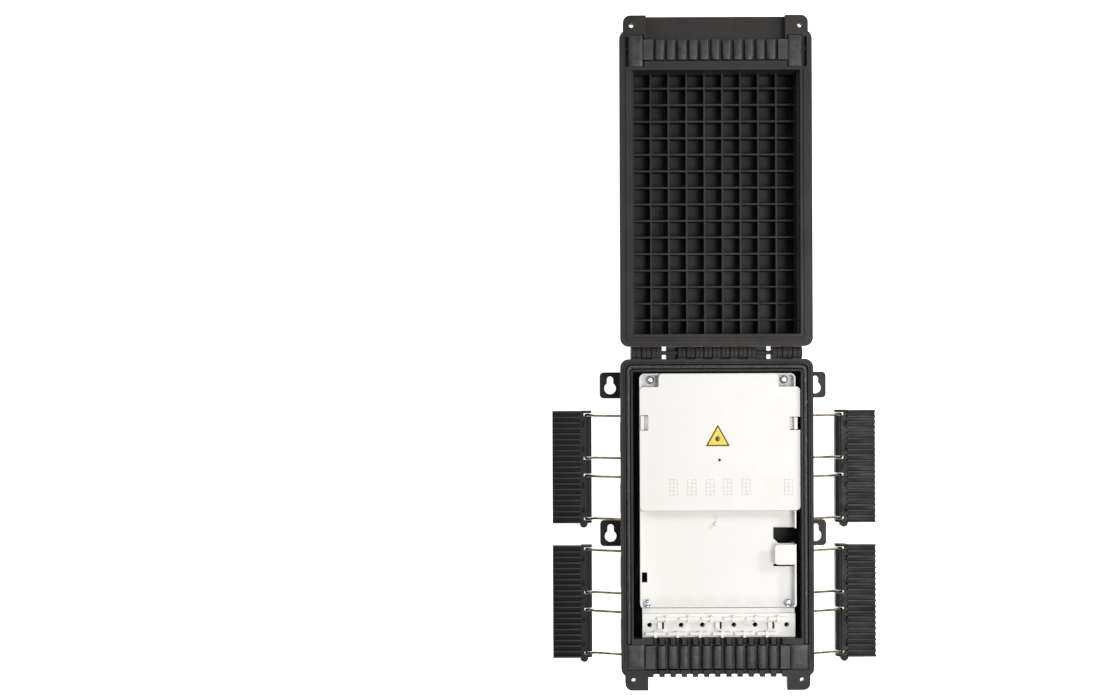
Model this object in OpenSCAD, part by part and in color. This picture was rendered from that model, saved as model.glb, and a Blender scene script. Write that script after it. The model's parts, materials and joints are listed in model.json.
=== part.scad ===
// Fibre termination box: a hinged two-part housing with a splice tray, a row of
// sealed cable ports and four wire-bail latches. The box lies on its back with
// the lid swung open. Origin: centre of the base's back face, +Z out of the box,
// +Y towards the hinge.

/* [Housing] */
// Width across the base's rim
box_w = 193; // [180:1:215]
// Length of the base's rim
box_l = 318; // [300:1:345]
// Height of the base, back face to rim
base_h = 60; // [56:1:75]
// Height of the lid, rim to top
lid_h = 60; // [50:1:75]
// Wall thickness
wall = 3; // [2.4:0.2:3.6]
// Thickness of the rim flanges
flange_t = 8; // [6:0.5:9]
// Corner radius of the rims
rim_r = 8.5; // [5:0.5:11]
// Width of the flat land outside the gasket
land_w = 5; // [4:0.25:6]
// Width of the gasket groove
groove_w = 5.3; // [4.4:0.1:6.4]
// Depth of the gasket groove
groove_d = 4.5; // [3.5:0.1:5.5]
// Width of the lip inside the gasket
lip_w = 2.1; // [1.6:0.1:2.6]
// How much narrower the lid's rim is on each side
lid_inset = 0.2; // [0:0.1:1]

/* [Hinge] */
// Gap between the two rims when the lid is open
hinge_gap = 12.6; // [11:0.2:16]
// Diameter of the hinge pin
pin_d = 4; // [3:0.1:5]
// Radial clearance of the pin in its knuckles
pin_fit = 0.05; // [0.02:0.01:0.1]
// Side gap between neighbouring knuckles
knuckle_gap = 0.5; // [0.3:0.1:1]

/* [Cable seals] */
// Number of cable ports
ports = 12; // [8:1:12]
// Radius of a cable port
port_r = 3.4; // [2.4:0.1:3.8]
// Length of a seal block along the cables
seal_l = 25; // [20:0.5:28]

/* [Tray] */
// Height of the tray floor's top face
tray_z = 45; // [38:0.5:46]
// Height of the tray's open walls and of the cover's top face
tray_top = 57; // [55:0.5:58]
// Thickness of the tray's floor
tray_t = 2; // [1.6:0.1:2.6]
// Thickness of the cover
cover_t = 2.4; // [1.8:0.1:2.8]
// Shift of the tray from the middle of the box
tray_x = 1; // [0:0.25:1.5]
// Shank diameter of the tray screws
screw_d = 3.8; // [3:0.1:4.4]

/* [Latches] */
// Length of a lever along the box
lever_l = 114.6; // [100:0.2:118]
// Width of a lever's ribbed plate and pivot bar
lever_w = 40; // [34:0.5:42]
// Number of ribs on a lever
lever_ribs = 21; // [10:1:24]
// Diameter of the bail wire
wire_d = 2.3; // [1.6:0.1:2.6]
// Distance between the two legs of a bail
bail_w = 44.5; // [38:0.5:46]
// Height of the bails' pivots above the back face
bail_z = 30; // [26:0.5:33]

/* [Mounting] */
// Thickness of the mounting ears
ear_t = 4; // [3:0.25:6]
// Distance of the keyholes' centres outside the rim
keyhole_out = 8.75; // [7:0.25:16]
// Distance between the keyholes along the box
keyhole_dy = 151.5; // [140:0.5:160]
// Radius of the keyholes' round part
keyhole_r = 6; // [4.5:0.25:6.5]
// Width of the keyholes' slot
keyhole_slot = 6.6; // [4.5:0.1:7]
// Diameter of the lock holes in the corner tabs
lock_d = 4.5; // [3.5:0.1:6]

/* [Hidden] */
$fn = 64;

black = [0.09, 0.09, 0.1];
seal_black = [0.13, 0.13, 0.14];
off_white = [0.93, 0.92, 0.89];
zinc = [0.7, 0.72, 0.75];
yellow_zinc = [0.72, 0.62, 0.33];

gap = 0.3; // clearance between pieces that close on each other
cut = 1; // how far a cutting solid runs past a face

half_w = box_w / 2;
half_l = box_l / 2;
rim_w = land_w + groove_w + lip_w;
line_in = 3; // drip line: distance in from the rim's edge, width and depth
line_w = 0.6;
line_d = 0.5;
inner_x = half_w - rim_w; // inside face of the side walls
inner_y = half_l - rim_w; // inside face of the wall at the hinge
hinge_y = half_l + hinge_gap / 2;
pin_r = pin_d / 2;
knuckle_r = hinge_gap / 2 - 0.9;
knuckle_rib = 0.6;
width_ratio = box_w / 193; // sideways places given for a 193 mm box scale with this
length_ratio = box_l / 318; // places along the tray given for a 318 mm box scale with this
// knuckle groups: first and last X, and number of knuckles
knuckle_groups = [for (g = [[-85.2, -56, 3], [-39.2, 38.6, 9], [55.2, 85.2, 3]])
    [g[0] * width_ratio, g[1] * width_ratio, g[2]]];

// cable end of the box
end_y = -half_l;
seal_y0 = end_y + 7; // outer face of the seal block
seal_y1 = seal_y0 + seal_l;
dam_t = 6; // wall between the seals and the inside
dam_y = seal_y1 + gap + dam_t; // inner face of that wall
seal_h = 22; // depth of a seal chamber
seal_x = inner_x - 11.5;
port_pitch = 2 * seal_x / (ports + 1);
seal_floor = base_h - seal_h;
corner_seal_w = 17;
corner_seal_h = flange_t - 1.6; // the corner seals stay within the flanges
corner_seal_x = seal_x + 1;
tooth_gap = 6; // notches between the teeth of the outer comb
tooth_l = 2.7;
tab_x0 = seal_x - 3;
tab_x1 = half_w - 4;
tab_l = 13.4;
tab_t = 12;
tab_r = 7;
lock_x = tab_x1 - 8.2;
lock_y = end_y - 3.3;

// tray
tray_half = inner_x - 5.8;
tray_wall = 1.6;
tray_deep = 22; // from the floor's top face down to the end of the skirt
tray_edge0 = tray_x - tray_half;
tray_edge1 = tray_x + tray_half;
tray_y0 = dam_y + 29.5; // end of the tray at the comb
tray_y1 = inner_y - 2;
cover_y0 = tray_y0 + 98.5 * length_ratio;
cover_x1 = inner_x - 0.5;
cover_under = tray_top - cover_t;
screw_r = screw_d / 2;
head_r = 4.2;
head_h = 2.4;
boss_r = 4.8;
top_screw = [tray_half - 10.9, tray_y1 - 6.4];
low_screw = [tray_half - 7.6, tray_y0 + 4.6];
screw_spots = [for (s = [-1, 1], p = [top_screw, low_screw]) [tray_x + s * p[0], p[1]]];
clip_y = cover_y0 + 81 * length_ratio; // start of the clips at the cover's sides
window_y1 = cover_y0 - 18 * length_ratio; // window for the fibres
window_y0 = window_y1 - 16;
side_slot_y = cover_y0 - 73 * length_ratio; // start of the small slot on the left

// fibre store under the cover
sleeves = 12;
sleeve_l = 56;
sleeve_r = 1.5;
sleeve_pitch = 3.8;
holder_l = 48;
holder_y = tray_y1 - 66.6 * length_ratio;
holder_w = sleeves * sleeve_pitch + 2;
guide_x = 44 * width_ratio;
guide_y = holder_y - 34 * length_ratio;
guide_r = 15;
label_w = 24;
label_h = 21.8;

// comb
comb_deck = tray_z + 6;
clip_pitch = 22.35 * width_ratio;
clips = 6;
tie_x = [for (x = [15.8, 37.1, 68.85]) x * width_ratio];
slot_x = [for (x = [-55.3, 2.65, 55.5]) x * width_ratio];

// lid, drawn on the closed box
lid_half_w = half_w - lid_inset;
lid_inner_x = inner_x - 2.1;
lid_end_y = end_y + 1.5;
lid_top = base_h + lid_h;
lid_dam_y = dam_y + 3; // inside face of the lid's wall at the seals
hood_z = base_h + 12;
grid_z = base_h + 35;
grid_nx = 9;
grid_ny = 16;
grid_t = 1.8;
grid_px = 2 * lid_inner_x / grid_nx;
slot_y = [lid_dam_y + 5, lid_dam_y + 137];

// latches
wire_r = wire_d / 2;
wire_fit = 0.05;
bail_x = inner_x + wall + 5.9; // pivot of the bails on the base
lever_x = half_w + 34.5; // pivot of the levers on the bails, latch open
lever_z = 10;
bail_run = lever_x - bail_x;
bail_drop = bail_z - lever_z;
leg_l = sqrt(bail_run * bail_run + bail_drop * bail_drop);
bail_end_l = 7;
bend_r = wire_r + 0.45;
lug_r = 3.2;
lug_l = 30;
latch_y = [49.1, -88];
bail_off = 30.93; // bail centres either side of the latch centre
latch_legs = [for (s = [-1, 1], e = [-1, 1]) s * bail_off + e * bail_w / 2];
slot_w = wire_d + 1.1;
bar_in = 6.4;
bar_out = 5;
plate_z = [2, 4.4];
rib_h = 3.6;
rib_t = 1.7;
nose_u = 3.3;
nose_w = 6.2;
channel_u = -2.6;
pocket_v = [18.5, 43.6];

// mounting ears
keyhole_x = half_w + keyhole_out;
keyhole_run = 9; // from the round part's centre to the end of the slot's
ear_x = keyhole_x + 10.6;
ear_y = [half_l - 30, half_l - 30 - keyhole_dy];

module slab(x0, x1, y0, y1, z0, z1) {
    translate([x0, y0, z0]) cube([x1 - x0, y1 - y0, z1 - z0]);
}

// rectangle with round corners, each with its own radius of r
module rounded(x0, x1, y0, y1, r) {
    translate([x0 + r, y0]) square([x1 - x0 - 2 * r, y1 - y0]);
    translate([x0, y0 + r]) square([x1 - x0, y1 - y0 - 2 * r]);
    for (x = [x0 + r, x1 - r], y = [y0 + r, y1 - r]) translate([x, y]) circle(r);
}

module rod_x(x0, x1, y, z, r) {
    translate([x0, y, z]) rotate([0, 90, 0]) cylinder(h = x1 - x0, r = r);
}

module rod_y(x, y0, y1, z, r) {
    translate([x, y0, z]) rotate([-90, 0, 0]) cylinder(h = y1 - y0, r = r);
}

module both_sides() {
    children();
    mirror([1, 0, 0]) children();
}

// turns a piece drawn on the closed box to its place on the open lid
module opened() {
    translate([0, hinge_y, base_h]) rotate([180, 0, 0]) translate([0, -hinge_y, -base_h])
        children();
}

function port_x(i) = (i - (ports - 1) / 2) * port_pitch;
function rib_x(i) = (i - ports / 2) * port_pitch;

// knuckles of one half of the hinge: side 0 is the base, side 1 the lid
module knuckles(side, web_z0) {
    for (g = knuckle_groups) {
        w = (g[1] - g[0] - (g[2] - 1) * knuckle_gap) / g[2];
        for (i = [side:2:g[2] - 1]) {
            x = g[0] + i * (w + knuckle_gap);
            rod_x(x, x + w, hinge_y, base_h, knuckle_r - knuckle_rib);
            // two raised bands round each knuckle
            for (x0 = [x, x + w / 2]) rod_x(x0 + 0.5, x0 + w / 2 - 0.5, hinge_y, base_h, knuckle_r);
            slab(x, x + w, half_l - 2, hinge_y, web_z0, web_z0 + knuckle_r);
        }
    }
}

module pin_bore() {
    rod_x(-half_w, half_w, hinge_y, base_h, pin_r + pin_fit);
}

// corner tabs with their lock holes, drawn once and used on both halves
module corner_tabs(z0) {
    both_sides() translate([0, 0, z0]) linear_extrude(tab_t) {
        rounded(tab_x0, tab_x1, end_y - tab_l, end_y + 9, tab_r);
        translate([tab_x0, end_y - tab_l]) square([tab_r, tab_l]);
        translate([tab_x0, end_y]) square([tab_x1 - tab_x0, 9]);
    }
}

module lock_holes(z0) {
    for (s = [-1, 1]) translate([s * lock_x, lock_y, z0 - cut])
        cylinder(h = tab_t + 2 * cut, d = lock_d);
}

module ear(y) {
    y0 = y - 10.2;
    y1 = y + 16.4;
    linear_extrude(ear_t) difference() {
        union() {
            rounded(inner_x, ear_x, y0, y1, 4);
            translate([inner_x, y0]) square([12, y1 - y0]);
        }
        translate([keyhole_x, y]) circle(keyhole_r);
        translate([keyhole_x - keyhole_slot / 2, y]) square([keyhole_slot, keyhole_run]);
        translate([keyhole_x, y + keyhole_run]) circle(d = keyhole_slot);
    }
}

module bail_lugs() {
    for (yc = latch_y, s = [-1, 1]) {
        y = yc + s * bail_off;
        difference() {
            union() {
                rod_y(bail_x, y - lug_l / 2, y + lug_l / 2, bail_z, lug_r);
                slab(inner_x + wall - 0.5, bail_x, y - lug_l / 2, y + lug_l / 2,
                    bail_z - lug_r, bail_z + lug_r);
            }
            rod_y(bail_x, y - lug_l, y + lug_l, bail_z, wire_r + wire_fit);
        }
    }
}

module base_shell() {
    color(black) {
        difference() {
            union() {
                linear_extrude(base_h - flange_t)
                    rounded(-inner_x - wall, inner_x + wall, end_y + 3, inner_y + wall, rim_r - 3);
                translate([0, 0, base_h - flange_t]) linear_extrude(flange_t)
                    rounded(-half_w, half_w, end_y, half_l, rim_r);
                corner_tabs(base_h - tab_t);
                knuckles(0, base_h - knuckle_r);
            }
            // inside, and the hollow under the seal chamber
            slab(-inner_x, inner_x, dam_y, inner_y, wall, base_h + cut);
            slab(-inner_x, inner_x, end_y + 3 + wall, dam_y + cut, wall, seal_floor - wall - 2);
            // seal chamber and corner pockets
            slab(-seal_x - 0.1, seal_x + 0.1, seal_y0 - 0.1, seal_y1 + gap, seal_floor, base_h + cut);
            both_sides() slab(corner_seal_x, corner_seal_x + corner_seal_w,
                seal_y0 - 0.1, seal_y1 + gap, base_h - corner_seal_h, base_h + cut);
            // gasket groove on three sides
            translate([0, 0, base_h - groove_d]) linear_extrude(groove_d + cut) difference() {
                rounded(-half_w + land_w, half_w - land_w, seal_y1 - 8, half_l - land_w, rim_r - 3);
                rounded(-inner_x - lip_w, inner_x + lip_w, seal_y1 - 20, inner_y + lip_w, 2.5);
                translate([-half_w, seal_y1 - 10]) square([box_w, 10 + gap]);
            }
            // fine drip line round the land
            translate([0, 0, base_h - line_d]) linear_extrude(line_d + cut) difference() {
                rounded(-half_w + line_in, half_w - line_in, end_y + 9, half_l - line_in, rim_r - line_in);
                rounded(-half_w + line_in + line_w, half_w - line_in - line_w, end_y + 8,
                    half_l - line_in - line_w, rim_r - line_in - line_w);
                translate([-half_w, end_y + 8]) square([box_w, rim_r]);
            }
            // cable ports through the inner wall and the outer comb
            for (i = [0:ports - 1]) {
                rod_y(port_x(i), seal_y1 - cut, dam_y + cut, base_h - port_r, port_r);
                slab(port_x(i) - port_r, port_x(i) + port_r, seal_y1 - cut, dam_y + cut,
                    base_h - port_r, base_h + cut);
                rod_y(port_x(i), end_y - cut, seal_y0 + cut, base_h, port_r - 1);
                slab(port_x(i) - tooth_gap / 2, port_x(i) + tooth_gap / 2, end_y - cut, end_y + tooth_l,
                    base_h - flange_t - cut, base_h + cut);
            }
            pin_bore();
            lock_holes(base_h - tab_t);
        }
        both_sides() {
            for (y = ear_y) ear(y);
            bail_lugs();
        }
        // bosses under the tray
        for (p = screw_spots) difference() {
            translate([p[0], p[1], wall - 0.5]) cylinder(h = tray_z - tray_t - wall + 0.5, r = boss_r);
            translate([p[0], p[1], tray_z - 16]) cylinder(h = 20, r = screw_r + 0.05);
        }
    }
}

module base_gasket() {
    color(seal_black) translate([0, 0, base_h - groove_d]) linear_extrude(groove_d - 1.6)
        difference() {
            rounded(-half_w + land_w + 0.2, half_w - land_w - 0.2, seal_y1 - 8,
                half_l - land_w - 0.2, rim_r - 3.2);
            rounded(-inner_x - lip_w - 0.2, inner_x + lip_w + 0.2, seal_y1 - 20,
                inner_y + lip_w + 0.2, 2.7);
            translate([-half_w, seal_y1 - 10]) square([box_w, 10 + 2 * gap]);
        }
}

// one gel block: body and a rib either side of each port
module port_seal(body_h, rib_top) {
    slab(-seal_x, seal_x, seal_y0, seal_y1, 0, body_h);
    for (i = [0:ports]) {
        x = rib_x(i);
        w = port_pitch - 2.6;
        x0 = max(x - w / 2, -seal_x);
        x1 = min(x + w / 2, seal_x);
        slab(x0, x1, seal_y0 + 0.6, seal_y1 - 0.6, body_h - 0.5, rib_top);
    }
}

module base_port_seal() {
    color(seal_black) translate([0, 0, seal_floor])
        port_seal(seal_h - 2.6, seal_h - 0.2);
}

module base_corner_seals() {
    color(seal_black) both_sides() translate([0, 0, base_h - corner_seal_h])
        linear_extrude(corner_seal_h - 0.2) rounded(corner_seal_x + 0.2, corner_seal_x + corner_seal_w - 0.2,
            seal_y0 + 0.1, seal_y1, 2);
}

module hinge_pin() {
    color(black) rod_x(knuckle_groups[0][0] + 0.5, knuckle_groups[2][1] - 0.5, hinge_y, base_h, pin_r);
}

// closed outline of the tray
module tray_outline(inset) {
    rounded(tray_x - tray_half + inset, tray_x + tray_half - inset,
        tray_y0 + inset, tray_y1 - inset, 5 - inset);
}

// slope that rises from a clip at xa to the cover's top at xb
module clip_ramp(xa, xb, y0, y1) {
    translate([0, y1, 0]) rotate([90, 0, 0]) linear_extrude(y1 - y0)
        polygon([[xa, tray_z - 0.5], [xb, tray_z - 0.5], [xb, tray_top - 0.6], [xa, tray_z + 6]]);
}

module splice_tray() {
    color(off_white) difference() {
        union() {
            translate([0, 0, tray_z - tray_t]) linear_extrude(tray_t) tray_outline(0);
            // skirt under the floor and wall over it
            translate([0, 0, tray_z - tray_deep]) linear_extrude(cover_under - 0.2 - tray_z + tray_deep) difference() {
                tray_outline(0);
                tray_outline(tray_wall);
                for (p = screw_spots) translate(p) circle(boss_r + 0.4);
                translate([-half_w, tray_y0 - cut]) square([box_w, tray_wall + cut]);
            }
            // higher wall beside the open part
            translate([0, 0, tray_z - tray_t]) linear_extrude(tray_top - tray_z + tray_t) difference() {
                tray_outline(0);
                tray_outline(tray_wall);
                translate([-half_w, cover_y0 - 0.4]) square([box_w, box_l]);
                translate([-half_w, tray_y0 - cut]) square([box_w, tray_wall + cut]);
            }
            // clips that hold the cover at its two sides
            slab(tray_edge0 + 1, tray_edge0 + 4.4, clip_y, clip_y + 14, tray_z - 1, tray_top);
            slab(tray_edge1 - 1.8, tray_edge1 + 1.6, clip_y, clip_y + 12, tray_z - 1, tray_top);
            clip_ramp(tray_edge0 + 4.2, tray_edge0 + 8.4, clip_y, clip_y + 14);
            clip_ramp(tray_edge1 - 1.6, tray_edge1 - 5.7, clip_y, clip_y + 12);
            // stud in the middle
            translate([0, cover_y0 - 14.4, tray_z - 1]) cylinder(h = 5, r = 2.3);
            // retaining tab at the top of the wall
            translate([0, 0, tray_top - 2.2]) linear_extrude(2.2)
                rounded(tray_edge1 - 21.5, tray_edge1 - 0.4, window_y0 - 20.6, window_y0 - 0.4, 3.5);
        }
        // window, its chamfered corner, and the small slot on the left
        translate([0, 0, tray_z - tray_t - cut]) linear_extrude(tray_t + 2 * cut) polygon([
            [tray_edge1 - 22, window_y1], [tray_edge1 + cut, window_y1], [tray_edge1 + cut, window_y0],
            [tray_edge1 - 17, window_y0], [tray_edge1 - 22, window_y0 + 5]]);
        slab(tray_edge1 - tray_wall - cut, tray_edge1 + cut, window_y0, window_y1, tray_z - tray_deep - cut, tray_top + cut);
        slab(tray_edge0 + 2.2, tray_edge0 + 7.6, side_slot_y, side_slot_y + 10, tray_z - tray_t - cut, tray_z + cut);
        // gap under the edge of the retaining tab
        slab(tray_edge1 - 22, tray_edge1 - tray_wall, window_y0 - 23.2, window_y0 - 20.8,
            tray_z - tray_t - cut, tray_z + cut);
        for (p = screw_spots) translate([p[0], p[1], tray_z - tray_t - cut])
            cylinder(h = tray_t + 2 * cut, r = screw_r + 0.3);
    }
}

module cable_comb() {
    x0 = tray_edge0 + 2.3;
    x1 = tray_edge1 - 0.8;
    y1 = tray_y0 - 0.4;
    y0 = dam_y + 0.4;
    color(off_white) difference() {
        union() {
            slab(x0, x1, y0, y1, tray_z - 6, tray_z + 1);
            slab(x0, x1, y0, y1 - 5, tray_z, comb_deck);
            // two rows of T-shaped cable clips
            for (row = [[-51.8, y1 - 9.6], [-63.3, y0 + 4]], i = [0:clips - 1]) {
                x = tray_x + row[0] * width_ratio + i * clip_pitch;
                slab(x - 1.4, x + 1.4, row[1] - 3.6, row[1] + 2.6, comb_deck - 1, comb_deck + 6.5);
                slab(x - 9.6, x + 9.6, row[1] - 1.6, row[1] + 1.6, comb_deck + 4.1, comb_deck + 6);
            }
            for (x = slot_x) slab(tray_x + x - 5.6, tray_x + x - 1.6, y1 - 20.5, y1 - 13.5, comb_deck - 1, comb_deck + 3);
        }
        for (s = [-1, 1], x = tie_x) translate([tray_x + s * x, y1 - 16.4, tray_z - 7])
            cylinder(h = 20, r = 2.4);
        for (x = slot_x) slab(tray_x + x - 1, tray_x + x + 1, y1 - 20.5, y1 - 13.5, tray_z - 7, comb_deck + cut);
    }
}

module tray_screws() {
    color(zinc) for (p = screw_spots) translate([p[0], p[1], tray_z]) difference() {
        union() {
            translate([0, 0, -14]) cylinder(h = 14.5, r = screw_r);
            cylinder(h = head_h - 0.8, r = head_r);
            translate([0, 0, head_h - 0.8]) cylinder(h = 0.8, r1 = head_r, r2 = head_r - 1.1);
        }
        for (a = [45, 135]) rotate([0, 0, a]) slab(-2.1, 2.1, -0.45, 0.45, 1, head_h + cut);
    }
}

function sleeve_y(i) = holder_y + 1 + (i + 0.5) * sleeve_pitch;

module splice_holder() {
    x0 = tray_x - holder_l / 2;
    x1 = tray_x + holder_l / 2;
    color(off_white) difference() {
        slab(x0, x1, holder_y, holder_y + holder_w, tray_z, tray_z + 5);
        for (i = [0:sleeves - 1]) rod_x(x0 - cut, x1 + cut, sleeve_y(i), tray_z + 4.4, sleeve_r + 0.1);
        slab(x0 + 12, x1 - 12, holder_y + 3, holder_y + holder_w - 3, tray_z + 1.2, tray_z + 6);
    }
}

module splice_sleeves() {
    color([0.75, 0.78, 0.8]) for (i = [0:sleeves - 1])
        rod_x(tray_x - sleeve_l / 2, tray_x + sleeve_l / 2, sleeve_y(i), tray_z + 4.4, sleeve_r);
}

module bend_guides() {
    h = 7;
    color(off_white) for (s = [-1, 1]) translate([tray_x + s * guide_x, guide_y, tray_z]) {
        difference() {
            cylinder(h = h, r = guide_r);
            translate([0, 0, -cut]) cylinder(h = h + 2 * cut, r = guide_r - 1.8);
        }
        // fingers that keep the fibre down
        for (a = [30, 150, 270]) rotate([0, 0, a]) slab(guide_r - 1, guide_r + 5, -3, 3, h - 1.4, h);
    }
}

module slack_clips() {
    x = 46 * width_ratio;
    h = 16;
    color(off_white) both_sides() for (y = [half_l - 59, half_l - 139, half_l - 219]) {
        slab(x, x + 2.4, y - 6, y + 6, wall, wall + h);
        slab(x - 8, x + 2.4, y - 6, y + 6, wall + h - 2, wall + h);
        slab(x - 8, x + 10, y - 6, y + 6, wall, wall + 1.6);
    }
}

module cover_outline() {
    x0 = tray_edge0 + 0.1;
    difference() {
        union() {
            rounded(x0, cover_x1, cover_y0, tray_y1 - 13.5, 4);
            // narrower end between the upper screws
            rounded(x0 + 19, tray_x + top_screw[0] - 6.4, tray_y1 - 40, tray_y1, 4);
        }
        // recesses at the side clips
        translate([x0 - 1, clip_y - 0.6]) square([9.5, 15.2]);
        translate([tray_edge1 - 6.1, clip_y - 0.6]) square([20, 13.2]);
    }
}

module splice_cover() {
    x0 = tray_edge0 + tray_wall + 0.5;
    color(off_white) difference() {
        union() {
            translate([0, 0, cover_under]) linear_extrude(cover_t) cover_outline();
            // locating ribs inside the tray's walls
            slab(x0, x0 + 1.6, cover_y0 + 4, cover_y0 + 78, cover_under - 5, cover_under + 0.5);
            slab(cover_x1 - 2, cover_x1 - 0.4, cover_y0 + 4, cover_y0 + 78, cover_under - 14, cover_under + 0.5);
            slab(-40, 40, tray_y1 - tray_wall - 2.2, tray_y1 - tray_wall - 0.6, cover_under - 5, cover_under + 0.5);
        }
        translate([tray_x + 1.6, cover_y0 + 50.5, cover_under - cut]) cylinder(h = cover_t + 2 * cut, r = 1.4);
    }
}

module cover_label() {
    color([0.95, 0.8, 0.05]) translate([tray_x, cover_y0 + 64.5, tray_top]) linear_extrude(0.25)
        polygon([[-label_w / 2, 0], [label_w / 2, 0], [0, label_h]]);
}

module lid_grid_lines() {
    py = (inner_y - lid_dam_y + 4.8) / grid_ny;
    for (i = [1:grid_nx - 1]) translate([i * grid_px - lid_inner_x - grid_t / 2, lid_dam_y - 1])
        square([grid_t, inner_y - lid_dam_y + 2]);
    for (j = [1:grid_ny - 1]) translate([-lid_inner_x - 1, lid_dam_y - 2.4 + j * py - grid_t / 2])
        square([2 * lid_inner_x + 2, grid_t]);
}

module lid_shell() {
    bx = lid_inner_x + wall;
    color(black) opened() {
        difference() {
            union() {
                translate([0, 0, base_h]) linear_extrude(flange_t)
                    rounded(-lid_half_w, lid_half_w, lid_end_y, half_l, rim_r);
                translate([0, 0, base_h + flange_t - cut]) linear_extrude(lid_h - flange_t + cut)
                    rounded(-bx, bx, seal_y0 - 4, inner_y + wall, rim_r - 3);
                corner_tabs(base_h);
                // hood over the cable ports
                slab(-tab_x0 - 1, tab_x0 + 1, end_y - tab_l, seal_y0, hood_z, hood_z + 3);
                knuckles(1, base_h);
            }
            slab(-inner_x, inner_x, lid_dam_y, inner_y, base_h - cut, base_h + flange_t);
            slab(-lid_inner_x, lid_inner_x, lid_dam_y, inner_y, base_h, lid_top - wall);
            // seal chamber, open to the hood
            slab(-seal_x - 0.1, seal_x + 0.1, seal_y0 + 2.6, seal_y1 + gap, base_h - cut, base_h + seal_h);
            slab(-seal_x + 3, seal_x - 3, end_y - tab_l - cut, seal_y0 + 3, base_h - cut, hood_z);
            both_sides() slab(corner_seal_x - 2, corner_seal_x + corner_seal_w - 4,
                seal_y0 - 1, seal_y1 + 6, base_h - cut, base_h + corner_seal_h);
            both_sides() slab(corner_seal_x + corner_seal_w - 3.2, inner_x + 7,
                seal_y0 + 1, seal_y1 + 6, base_h - cut, base_h + flange_t - 1);
            // hollow behind the seal chamber
            slab(-lid_inner_x, lid_inner_x, seal_y0, lid_dam_y - 6, base_h + 26, lid_top - wall);
            // blind slots in the top beside the second rib
            for (y = slot_y) slab(-lid_inner_x + 1.34 * grid_px, -lid_inner_x + 1.34 * grid_px + 4.6,
                y, y + 32, lid_top - wall - cut, lid_top - wall + 2.2);
            pin_bore();
            lock_holes(base_h);
        }
        // deep grid that stiffens the lid
        translate([0, 0, grid_z]) linear_extrude(lid_top - wall - grid_z + 0.5) intersection() {
            lid_grid_lines();
            translate([-lid_inner_x - 0.5, lid_dam_y - 0.5])
                square([2 * lid_inner_x + 1, inner_y - lid_dam_y + 1]);
        }
        // tongue that presses on the gasket
        translate([0, 0, base_h - 1.2]) linear_extrude(1.7) difference() {
            rounded(-inner_x - lip_w - 3.9, inner_x + lip_w + 3.9, seal_y1 - 8, inner_y + lip_w + 3.9, 4);
            rounded(-inner_x - lip_w - 1.6, inner_x + lip_w + 1.6, seal_y1 - 20, inner_y + lip_w + 1.6, 3);
            translate([-half_w, seal_y1 - 10]) square([box_w, 18]);
        }
        // small webs beside the corner seals
        both_sides() slab(corner_seal_x + corner_seal_w - 3.4, inner_x + 7.5,
            (seal_y0 + seal_y1) / 2 - 0.8, (seal_y0 + seal_y1) / 2 + 0.8, base_h + 3, base_h + flange_t);
    }
}

module lid_port_seal() {
    color(seal_black) opened() translate([0, 0, base_h + seal_h]) mirror([0, 0, 1]) intersection() {
        port_seal(seal_h - 2.6, seal_h - 0.2);
        slab(-seal_x, seal_x, seal_y0 + 2.7, seal_y1 + cut, -cut, seal_h);
    }
}

module lid_corner_seals() {
    color(seal_black) opened() both_sides() translate([0, 0, base_h + 0.2])
        linear_extrude(corner_seal_h - 0.2) rounded(corner_seal_x - 0.8, corner_seal_x + corner_seal_w - 4.2, seal_y0 - 0.8, seal_y1 + 5.8, 2);
}

// quarter bend of the wire, from direction a to a + 90 degrees about its centre
module wire_bend(x, y, a) {
    translate([x, y, 0]) rotate([0, 0, a]) rotate_extrude(angle = 90)
        translate([bend_r, 0]) circle(wire_r);
}

// one bail lying flat: crossbar at x = 0, legs along +X, ends turned towards each other
module bail_flat() {
    h = bail_w / 2;
    rod_y(0, -h + bend_r, h - bend_r, 0, wire_r);
    for (s = [-1, 1]) {
        rod_x(bend_r, leg_l - bend_r, s * h, 0, wire_r);
        rod_y(leg_l, min(s * (h - bend_r), s * (h - bail_end_l)), max(s * (h - bend_r), s * (h - bail_end_l)),
            0, wire_r);
    }
    wire_bend(bend_r, -h + bend_r, 180);
    wire_bend(bend_r, h - bend_r, 90);
    wire_bend(leg_l - bend_r, -h + bend_r, 270);
    wire_bend(leg_l - bend_r, h - bend_r, 0);
}

// one latch's two wire bails, drawn on the right-hand side
module bails(yc) {
    for (s = [-1, 1]) translate([bail_x, yc + s * bail_off, bail_z])
        rotate([0, atan(bail_drop / bail_run), 0]) bail_flat();
}

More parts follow.
